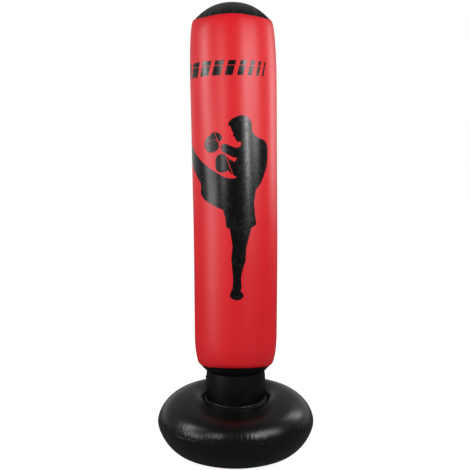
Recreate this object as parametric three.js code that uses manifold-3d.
// Inflatable free-standing punch bag: a red PVC column on a black neck, over a water-filled ring base.
// Millimetres, +Z up. The origin is on the floor, on the bag's axis; the front is -Y and the valves are at the back.
// Every soft part is a sheet of PVC film, so each is a thin shell of revolution with its own weld flange.
import * as THREE from "three";
import { mergeVertices } from "three/addons/utils/BufferGeometryUtils.js";
import Module from "manifold-3d";

const wasm = await Module();
wasm.setup();

const point = (r, z) => new THREE.Vector2(r, z);

// Film and welds
const FILM = 0.45;
const GAP = 0.35; // clearance between pieces that touch
const WELD = 8; // width of a weld flange, turned into the chamber
const WELD_STEP = (FILM + GAP) / 2; // how far each of two welded films lies from their seam

// Facets
const AROUND = 36; // round the bag
const COLUMN_STEPS = 5; // along a rounded shoulder of the column
const BASE_STEPS = 8; // along a rounded side of the base
const ROUND = 24; // round a valve
const PIN_ROUND = 16; // round a valve's smallest parts

// Column, as points of its outline: radius, height
const HEIGHT = 1600;
const TOP_SEAM = point(135, 1538.5);
const COLUMN_TOP = point(152.6, 1310); // the widest place, where the upper shoulder begins
const COLUMN_FOOT = point(148.3, 433);
const BOTTOM_SEAM = point(128.2, 325);
const TOP_SHOULDER = 2.35; // roundness: 2 is an ellipse, more is squarer
const BOTTOM_SHOULDER = 2.17;
const DOME_POWER = 2.44;
const DISH_POWER = 1.2;
const DISH_STEPS = 3;
const VENT_RADIUS = 12; // lets air pass between column and neck
const TOP_FLANGE = point(-0.8, -0.6); // the way a flange runs in from its seam
const BOTTOM_FLANGE = point(-0.8, 0.6);

// Neck
const NECK_RADIUS = 104.9;
const NECK_BULGE = 2.5;
const NECK_TOP = 294.4;
const NECK_FOOT = 202; // where the sleeve starts to flare into the roll round its foot
const NECK_STEPS = 4;
const ROLL_RADIUS = 5.6;
const ROLL_STEPS = 3;
const RING_SEAM = point(117.4, 184); // the groove between the roll and the base
const RING_FLANGE_END = 176;

// Base
const BASE_RADIUS = 283;
const EQUATOR = 112; // height of the outer weld
const CREST = point(163, 223);
const UPPER_SIDE = 1.75;
const LOWER_SIDE = 1.64;
const GROOVE_SIDE = 2;
const SAG = 38; // how far the top of the base hangs down at the front
const FLOOR_RADIUS = 190; // edge of the flat patch that stands on the floor
const CORE_RADIUS = 104.5;
const CORE_TAPER = 24; // height over which the core narrows below the ring seam
const WATER_LEVEL = 92;
const WATER_CLEAR = 1.2;

// Valves. Each has a frame on its sheet: u across the lid's hinge, v along it, w straight out, 0 on the outer face.
const COLUMN_VALVE_HEIGHT = 520;
const BASE_VALVE_RADIUS = 205; // how far the base's two valves lie from the axis
const BASE_VALVE_SPREAD = THREE.MathUtils.degToRad(28); // either side of straight back
const PATCH_THICK = 1.2; // the flange that is welded to the sheet
const HOLE_CLEAR = 0.5;
const THROUGH = 30; // reach of a tool that cuts right through a sheet

const SCREW = {
  patch: 26,
  collar: { outer: 15, inner: 12, bottom: -8, top: 9 },
  thread: { radius: 15.9, bottom: 5.4, top: 6.6 },
  washer: { outer: 15.6, inner: 11.6, thick: 1.6 },
  skirt: { outer: 19.5, inner: 16.6, bottom: 4.2 },
  ribs: 14,
  ribDepth: 0.8,
  capThick: 2.4,
  grip: { long: 26, wide: 3.4, high: 4 },
};
const CAP_UNDER = SCREW.collar.top + SCREW.washer.thick + 2 * GAP;
const CAP_TOP = CAP_UNDER + SCREW.capThick;

// The air inlet through the column valve's cap, with a one-way leaf under it and a lid over it
const INLET = { radius: 7.6, wall: 1.6, bottom: 4.5 };
const SPIDER = { wide: 2.2, thick: 1.4, hole: 1.5 };
const LEAF = { radius: 9, thick: 0.8, stem: 1.15, stemTop: 3.6, head: 2.1, headThick: 0.8 };
const LID = { radius: 10.2, thick: 1.8, rimOuter: 7, rimInner: 5.4, rimDepth: 3 };
const LID_HINGE = { u: -14.5, w: CAP_TOP + 0.8, thick: 0.9, wide: 6, lugWide: 8, lugBack: -18.6, lugFront: -15.3 };
const LID_TAB = { from: 8, to: 16.5, wide: 7, thick: 1.2, lift: 0.4 };

// The base's small air valve: a stem that pushes in flush, with a stopper on top and a flap at the bottom
const GUIDE = { patch: 17, outer: 8, inner: 6.2, bottom: -10, top: 2.2 };
const STEM = { outer: 5.6, bore: 3.4, bottom: -14, lip: 8.4, lipThick: 1.8, tailWide: 5, tailEnd: -13.4 };
const STEM_TOP = GUIDE.top + GAP + STEM.lipThick;
const STOPPER = { radius: 6.4, thick: 1.5, peg: 2.8, pegDepth: 2 };
const STOPPER_HINGE = { u: -10.4, w: STEM_TOP + 0.9, thick: 0.7, wide: 4, lugFront: -11.1 };
const STOPPER_TAB = { from: 5, to: 11, wide: 5, thick: 1.1, lift: 0.2 };
const FLAP = { radius: 4.8, thick: 0.6, hinge: -5.2, wide: 4 };
const OVERLAP = 0.4; // how far joined shapes run into each other

const BLACK_FILM = { color: 0x17181a, roughness: 0.36, metalness: 0 };
const RED_FILM = { color: 0xd8232b, roughness: 0.42, metalness: 0 };
const MOULDED = { color: 0x1d1e20, roughness: 0.5, metalness: 0 };
const RUBBER = { color: 0x3a3b3d, roughness: 0.8, metalness: 0 };
const WATER = { color: 0x7fb4d2, roughness: 0.1, metalness: 0 };

const bag = new THREE.Group();

function add(parent, name, geometry, look) {
  const mesh = new THREE.Mesh(geometry, new THREE.MeshStandardMaterial(look));
  mesh.name = name;
  parent.add(mesh);
}

// ---- Shells and solids of revolution ----

// A closed outline in radius and height, turned round +Z, with its faces pointing out.
function revolve(outline, facets) {
  const points = THREE.ShapeUtils.area(outline) < 0 ? [...outline].reverse() : [...outline];
  const onAxis = points[0].x === 0 && points.at(-1).x === 0;
  if (!onAxis) points.push(points[0].clone());
  return new THREE.LatheGeometry(points, facets).rotateX(Math.PI / 2);
}

// A line moved sideways, to the right of the way it runs, with mitred corners.
function offset(line, distance) {
  return line.map((p, i) => {
    const into = i ? p.clone().sub(line[i - 1]).normalize() : null;
    const onward = i < line.length - 1 ? line[i + 1].clone().sub(p).normalize() : null;
    const a = into ?? onward;
    const b = onward ?? into;
    const normal = point(-(a.y + b.y), a.x + b.x).normalize();
    const mitre = distance / (normal.y * a.x - normal.x * a.y);
    const moved = p.clone().addScaledVector(normal, mitre);
    if (p.x === 0) moved.x = 0;
    return moved;
  });
}

// A film of even thickness round the axis, from the line down its middle. A turned outline splits the quads of its
// way out and of its way back along opposite diagonals. The way back is split again here, along the same diagonals
// as the way out, so the film's two faces stay parallel when it is bent.
function film(line) {
  const geometry = revolve([...offset(line, FILM / 2), ...offset(line, -FILM / 2).reverse()], AROUND);
  const corners = geometry.index;
  const quadsAround = corners.count / 6 / AROUND;
  for (let quad = 0; quad < corners.count / 6; quad++) {
    if (quad % quadsAround < line.length) continue;
    const [a, b, d, c] = [0, 1, 2, 3].map((k) => corners.getX(6 * quad + k));
    [a, b, c, c, d, a].forEach((corner, k) => corners.setX(6 * quad + k, corner));
  }
  return geometry;
}

// The base isn't blown up evenly: its top is lowest straight in front, and level from the sides to the back.
// This lowers a film there. The sag grows from the equator up, and above the ring seam the neck takes it up again.
function sagged(geometry, isNeck) {
  const place = geometry.attributes.position;
  for (let i = 0; i < place.count; i++) {
    const [x, y, z] = [place.getX(i), place.getY(i), place.getZ(i)];
    if (z <= EQUATOR) continue;
    const front = ((1 - y / Math.hypot(x, y)) / 2) ** 3;
    const foot = isNeck ? Math.min(z, RING_SEAM.y) : z;
    const risen = ((foot - EQUATOR) / (CREST.y - EQUATOR)) ** 2;
    const left = isNeck ? Math.min(1, (NECK_TOP - z) / (NECK_TOP - RING_SEAM.y)) : 1;
    place.setZ(i, z - SAG * front * risen * left);
  }
  return geometry;
}

// A rounded quarter of an outline: it leaves `side` straight up or down, and comes to `end` straight across.
function quarter(side, end, power, steps) {
  return Array.from({ length: steps + 1 }, (_, i) => {
    const t = (i / steps) * (Math.PI / 2);
    const across = i === steps ? 0 : Math.cos(t) ** (2 / power);
    const up = Math.sin(t) ** (2 / power);
    return point(end.x + (side.x - end.x) * across, side.y + (end.y - side.y) * up);
  });
}

// One film's flange at a seam: where it leaves the seam, and where it ends. `side` is 1 or -1, one for each film.
function flange(seam, inwards, side) {
  const across = point(inwards.y, -inwards.x);
  const edge = seam.clone().addScaledVector(across, side * WELD_STEP);
  return { edge, end: edge.clone().addScaledVector(inwards, WELD) };
}

// ---- Booleans ----

function solid(geometry) {
  const bare = geometry.clone();
  bare.deleteAttribute("normal");
  bare.deleteAttribute("uv");
  const merged = mergeVertices(bare, 1e-3);
  return new wasm.Manifold(
    new wasm.Mesh({
      numProp: 3,
      vertProperties: new Float32Array(merged.attributes.position.array),
      triVerts: new Uint32Array(merged.index.array),
    }),
  );
}

function geometryOf(made) {
  const mesh = made.getMesh();
  return new THREE.BufferGeometry()
    .setAttribute("position", new THREE.BufferAttribute(mesh.vertProperties, 3))
    .setIndex(new THREE.BufferAttribute(mesh.triVerts, 1));
}

const join = (...parts) => geometryOf(parts.map(solid).reduce((a, b) => a.add(b)));
const cut = (part, ...tools) => geometryOf(tools.map(solid).reduce((a, b) => a.subtract(b), solid(part)));
const overlapOf = (a, b) => geometryOf(solid(a).intersect(solid(b)));

// ---- Small solids in a valve's frame ----

function rod(radius, bottom, top, facets = ROUND) {
  return new THREE.CylinderGeometry(radius, radius, top - bottom, facets)
    .rotateX(Math.PI / 2)
    .translate(0, 0, (bottom + top) / 2);
}

function tube(inner, outer, bottom, top) {
  return revolve([point(inner, bottom), point(outer, bottom), point(outer, top), point(inner, top)], ROUND);
}

function block(from, to, wide, bottom, top) {
  return new THREE.BoxGeometry(to - from, wide, top - bottom)
    .translate((from + to) / 2, 0, (bottom + top) / 2);
}

// ---- Column: wall, dome and dish, welded along two seams ----

const wallTop = flange(TOP_SEAM, TOP_FLANGE, -1);
const wallBottom = flange(BOTTOM_SEAM, BOTTOM_FLANGE, 1);
const wallLine = [
  wallTop.end,
  ...quarter(COLUMN_TOP, wallTop.edge, TOP_SHOULDER, COLUMN_STEPS).reverse(),
  ...quarter(COLUMN_FOOT, wallBottom.edge, BOTTOM_SHOULDER, COLUMN_STEPS),
  wallBottom.end,
];

function domeLine() {
  const { edge, end } = flange(TOP_SEAM, TOP_FLANGE, 1);
  const rise = HEIGHT - FILM / 2 - edge.y;
  const crown = Array.from({ length: COLUMN_STEPS + 1 }, (_, i) => {
    const share = i / COLUMN_STEPS;
    return point(edge.x * share, edge.y + rise * (1 - share ** DOME_POWER));
  });
  return [...crown, end];
}

function dishLine() {
  const { edge, end } = flange(BOTTOM_SEAM, BOTTOM_FLANGE, -1);
  const floor = NECK_TOP + FILM + GAP;
  const slope = Array.from({ length: DISH_STEPS + 1 }, (_, i) => {
    const share = i / DISH_STEPS;
    return point(
      NECK_RADIUS + (edge.x - NECK_RADIUS) * share,
      floor + (edge.y - floor) * share ** DISH_POWER,
    );
  });
  return [point(VENT_RADIUS, floor), ...slope, end];
}

// ---- Neck: one sleeve, with a flange under the dish and a roll round its foot ----

function neckLine() {
  const side = Array.from({ length: NECK_STEPS + 1 }, (_, i) => {
    const share = i / NECK_STEPS;
    return point(
      NECK_RADIUS + NECK_BULGE * Math.sin(Math.PI * share),
      NECK_TOP + (NECK_FOOT - NECK_TOP) * share,
    );
  });
  const rollSide = point(RING_SEAM.x, RING_SEAM.y + ROLL_RADIUS / 2);
  const rollTop = point(rollSide.x - ROLL_RADIUS, rollSide.y + ROLL_RADIUS);
  return [
    point(NECK_RADIUS - WELD, NECK_TOP),
    ...side,
    ...quarter(side.at(-1), rollTop, 2, ROLL_STEPS).slice(1),
    ...quarter(rollSide, rollTop, 2, ROLL_STEPS).reverse().slice(1),
    point(RING_SEAM.x, RING_FLANGE_END),
  ];
}

// ---- Base: a ring chamber of an upper sheet, a floor sheet and a core sleeve that ties them together ----

const upperEquator = point(BASE_RADIUS - FILM / 2, EQUATOR + WELD_STEP);
const lowerEquator = point(BASE_RADIUS - FILM / 2, EQUATOR - WELD_STEP);
const groove = point(RING_SEAM.x + FILM + GAP, RING_SEAM.y);
const baseTopLine = [
  point(groove.x, RING_FLANGE_END),
  ...quarter(groove, CREST, GROOVE_SIDE, COLUMN_STEPS),
  ...quarter(upperEquator, CREST, UPPER_SIDE, BASE_STEPS).reverse().slice(1),
  point(upperEquator.x - WELD, upperEquator.y),
];
const underside = quarter(lowerEquator, point(FLOOR_RADIUS, FILM / 2), LOWER_SIDE, BASE_STEPS);
const baseFloorLine = [
  point(lowerEquator.x - WELD, lowerEquator.y),
  ...underside,
  point(0, FILM / 2),
];

function coreLine() {
  const top = RING_SEAM.x - FILM - GAP;
  const foot = FILM + GAP + FILM / 2;
  return [
    point(top, RING_SEAM.y),
    point(top, RING_FLANGE_END),
    point(CORE_RADIUS, RING_FLANGE_END - CORE_TAPER),
    point(CORE_RADIUS, foot),
    point(CORE_RADIUS - WELD, foot),
  ];
}

// The water stands on the floor sheet, up to a level surface.
function waterOutline() {
  const lining = offset(underside, -WATER_CLEAR);
  const first = lining.findIndex((p) => p.y < WATER_LEVEL);
  const [above, below] = [lining[first - 1], lining[first]];
  const shore = THREE.MathUtils.mapLinear(WATER_LEVEL, above.y, below.y, above.x, below.x);
  const inner = CORE_RADIUS + WATER_CLEAR;
  return [
    point(inner, WATER_LEVEL),
    point(shore, WATER_LEVEL),
    ...lining.slice(first),
    point(inner, lining.at(-1).y),
  ];
}

// ---- Valve parts ----

function valveFrame(position, out, across) {
  const frame = new THREE.Group();
  const along = new THREE.Vector3().crossVectors(out, across);
  frame.quaternion.setFromRotationMatrix(new THREE.Matrix4().makeBasis(across, along, out));
  frame.position.copy(position);
  frame.updateMatrix();
  bag.add(frame);
  return frame;
}

// A hole through a sheet, for a tube of this radius.
function hole(frame, radius) {
  return rod(radius + HOLE_CLEAR, -THROUGH, THROUGH).applyMatrix4(frame.matrix);
}

// A round flange that lies on the outside of a sheet and follows its curve.
function patch(frame, line, radius) {
  const under = offset(line, FILM / 2 + GAP);
  const over = offset(line, FILM / 2 + GAP + PATCH_THICK);
  const skin = revolve([...under, ...over.reverse()], AROUND).applyMatrix4(frame.matrix.clone().invert());
  return overlapOf(skin, rod(radius, -THROUGH, THROUGH));
}

function screwSeat(frame, line) {
  const { collar, thread } = SCREW;
  const body = join(
    patch(frame, line, SCREW.patch),
    rod(collar.outer, collar.bottom, collar.top),
    rod(thread.radius, thread.bottom, thread.top),
  );
  return cut(body, rod(collar.inner, collar.bottom - 1, collar.top + 1));
}

function washer() {
  const bottom = SCREW.collar.top + GAP;
  return tube(SCREW.washer.inner, SCREW.washer.outer, bottom, bottom + SCREW.washer.thick);
}

// A cap with a ribbed skirt: each rib takes half of its share of the circle.
function screwCap() {
  const { skirt, ribs, ribDepth } = SCREW;
  const rim = new THREE.Shape();
  for (let i = 0; i < ribs * 4; i += 1) {
    const angle = (i / (ribs * 4)) * 2 * Math.PI;
    const radius = i % 4 < 2 ? skirt.outer : skirt.outer - ribDepth;
    rim.lineTo(radius * Math.cos(angle), radius * Math.sin(angle));
  }
  const depth = CAP_TOP - skirt.bottom;
  const drum = new THREE.ExtrudeGeometry(rim, { depth, bevelEnabled: false }).translate(0, 0, skirt.bottom);
  return cut(drum, rod(skirt.inner, skirt.bottom - 1, CAP_UNDER));
}

// The column valve's cap: the screw cap with an air inlet, a spider across it and a lug for the lid.
function inletCap() {
  const outer = INLET.radius + INLET.wall;
  const drum = cut(screwCap(), rod(INLET.radius + OVERLAP, INLET.bottom, CAP_TOP + 1));
  const arm = block(-outer + OVERLAP, outer - OVERLAP, SPIDER.wide, INLET.bottom, INLET.bottom + SPIDER.thick);
  const body = join(
    drum,
    tube(INLET.radius, outer, INLET.bottom, CAP_TOP),
    arm,
    arm.clone().rotateZ(Math.PI / 2),
    block(
      LID_HINGE.lugBack,
      LID_HINGE.lugFront,
      LID_HINGE.lugWide,
      CAP_TOP - OVERLAP,
      LID_HINGE.w + LID_HINGE.thick / 2,
    ),
  );
  return cut(body, rod(SPIDER.hole, INLET.bottom - 1, INLET.bottom + SPIDER.thick + 1, PIN_ROUND));
}

function inletLeaf() {
  const top = INLET.bottom - GAP;
  const headBottom = INLET.bottom + LEAF.stemTop;
  return join(
    rod(LEAF.radius, top - LEAF.thick, top),
    rod(LEAF.stem, top - OVERLAP, headBottom + OVERLAP, PIN_ROUND),
    rod(LEAF.head, headBottom, headBottom + LEAF.headThick, PIN_ROUND),
  );
}

function inletLid() {
  const bottom = CAP_TOP + GAP;
  const half = LID_HINGE.thick / 2;
  return join(
    rod(LID.radius, bottom, bottom + LID.thick),
    tube(LID.rimInner, LID.rimOuter, bottom - LID.rimDepth, bottom + OVERLAP),
    block(LID_HINGE.u, -LID.radius + 2, LID_HINGE.wide, LID_HINGE.w - half, LID_HINGE.w + half),
    block(LID_TAB.from, LID_TAB.to, LID_TAB.wide, bottom + LID_TAB.lift, bottom + LID_TAB.lift + LID_TAB.thick),
  );
}

function fillerCap() {
  const { long, wide, high } = SCREW.grip;
  return join(screwCap(), block(-long / 2, long / 2, wide, CAP_TOP - OVERLAP, CAP_TOP + high));
}

function guideSeat(frame, line) {
  const body = join(patch(frame, line, GUIDE.patch), rod(GUIDE.outer, GUIDE.bottom, GUIDE.top));
  return cut(body, rod(GUIDE.inner, GUIDE.bottom - 1, GUIDE.top + 1));
}

function pushStem() {
  const lipBottom = STEM_TOP - STEM.lipThick;
  const body = join(
    rod(STEM.outer, STEM.bottom, STEM_TOP),
    rod(STEM.lip, lipBottom, STEM_TOP),
    block(STEM.tailEnd, -STEM.lip + 1, STEM.tailWide, lipBottom, STEM_TOP),
    block(
      STEM.tailEnd,
      STOPPER_HINGE.lugFront,
      STEM.tailWide,
      STEM_TOP - OVERLAP,
      STOPPER_HINGE.w + STOPPER_HINGE.thick / 2,
    ),
  );
  return cut(body, rod(STEM.bore, STEM.bottom - 1, STEM_TOP + 1, PIN_ROUND));
}

function stopper() {
  const bottom = STEM_TOP + GAP;
  const half = STOPPER_HINGE.thick / 2;
  const tab = bottom + STOPPER_TAB.lift;
  return join(
    rod(STOPPER.radius, bottom, bottom + STOPPER.thick),
    rod(STOPPER.peg, bottom - STOPPER.pegDepth, bottom + OVERLAP, PIN_ROUND),
    block(STOPPER_HINGE.u, -STOPPER.radius + 1, STOPPER_HINGE.wide, STOPPER_HINGE.w - half, STOPPER_HINGE.w + half),
    block(STOPPER_TAB.from, STOPPER_TAB.to, STOPPER_TAB.wide, tab, tab + STOPPER_TAB.thick),
  );
}

function innerFlap() {
  const top = STEM.bottom - GAP;
  return join(
    rod(FLAP.radius, top - FLAP.thick, top),
    block(FLAP.hinge, -FLAP.radius / 2, FLAP.wide, top - FLAP.thick, top),
  );
}

// ---- Where the valves sit ----

// Straight back on the column, low down, with the lid's hinge uppermost.
function columnValveFrame() {
  const share = THREE.MathUtils.inverseLerp(COLUMN_FOOT.y, COLUMN_TOP.y, COLUMN_VALVE_HEIGHT);
  const radius = THREE.MathUtils.lerp(COLUMN_FOOT.x, COLUMN_TOP.x, share) + FILM / 2;
  return valveFrame(
    new THREE.Vector3(0, radius, COLUMN_VALVE_HEIGHT),
    new THREE.Vector3(0, 1, 0),
    new THREE.Vector3(0, 0, -1),
  );
}

// On the base's upper sheet, square to its curve, turned this far from straight back.
function baseValveFrame(turn) {
  const wide = upperEquator.x - CREST.x;
  const high = CREST.y - upperEquator.y;
  const out = (BASE_VALVE_RADIUS - CREST.x) / wide;
  const up = (1 - out ** UPPER_SIDE) ** (1 / UPPER_SIDE);
  const slope = point(out ** (UPPER_SIDE - 1) / wide, up ** (UPPER_SIDE - 1) / high).normalize();
  const away = new THREE.Vector3(0, 1, 0).applyAxisAngle(new THREE.Vector3(0, 0, 1), turn);
  const normal = away.clone().multiplyScalar(slope.x).setZ(slope.y);
  const across = away.clone().multiplyScalar(slope.y).setZ(-slope.x);
  const position = away.clone().multiplyScalar(BASE_VALVE_RADIUS).setZ(upperEquator.y + high * up);
  return valveFrame(position.addScaledVector(normal, FILM / 2), normal, across);
}

const columnValve = columnValveFrame();
const filler = baseValveFrame(BASE_VALVE_SPREAD);
const baseValve = baseValveFrame(-BASE_VALVE_SPREAD);

// ---- The bag ----

add(bag, "column_wall", cut(film(wallLine), hole(columnValve, SCREW.collar.outer)), RED_FILM);
add(bag, "top_dome", film(domeLine()), BLACK_FILM);
add(bag, "bottom_dish", film(dishLine()), BLACK_FILM);
add(bag, "neck_sleeve", sagged(film(neckLine()), true), BLACK_FILM);
const baseHoles = [hole(filler, SCREW.collar.outer), hole(baseValve, GUIDE.outer)];
add(bag, "base_top_sheet", cut(sagged(film(baseTopLine), false), ...baseHoles), BLACK_FILM);
add(bag, "base_floor_sheet", film(baseFloorLine), BLACK_FILM);
add(bag, "base_core_sleeve", sagged(film(coreLine()), false), BLACK_FILM);
add(bag, "water_ballast", revolve(waterOutline(), AROUND), WATER);

add(columnValve, "column_valve_seat", screwSeat(columnValve, wallLine), MOULDED);
add(columnValve, "column_valve_gasket", washer(), RUBBER);
add(columnValve, "column_valve_cap", inletCap(), MOULDED);
add(columnValve, "column_valve_diaphragm", inletLeaf(), RUBBER);
add(columnValve, "column_valve_lid", inletLid(), MOULDED);

add(filler, "filler_seat", screwSeat(filler, baseTopLine), MOULDED);
add(filler, "filler_gasket", washer(), RUBBER);
add(filler, "filler_cap", fillerCap(), MOULDED);

add(baseValve, "base_valve_seat", guideSeat(baseValve, baseTopLine), MOULDED);
add(baseValve, "base_valve_stem", pushStem(), MOULDED);
add(baseValve, "base_valve_plug", stopper(), MOULDED);
add(baseValve, "base_valve_flap", innerFlap(), RUBBER);

export default bag;
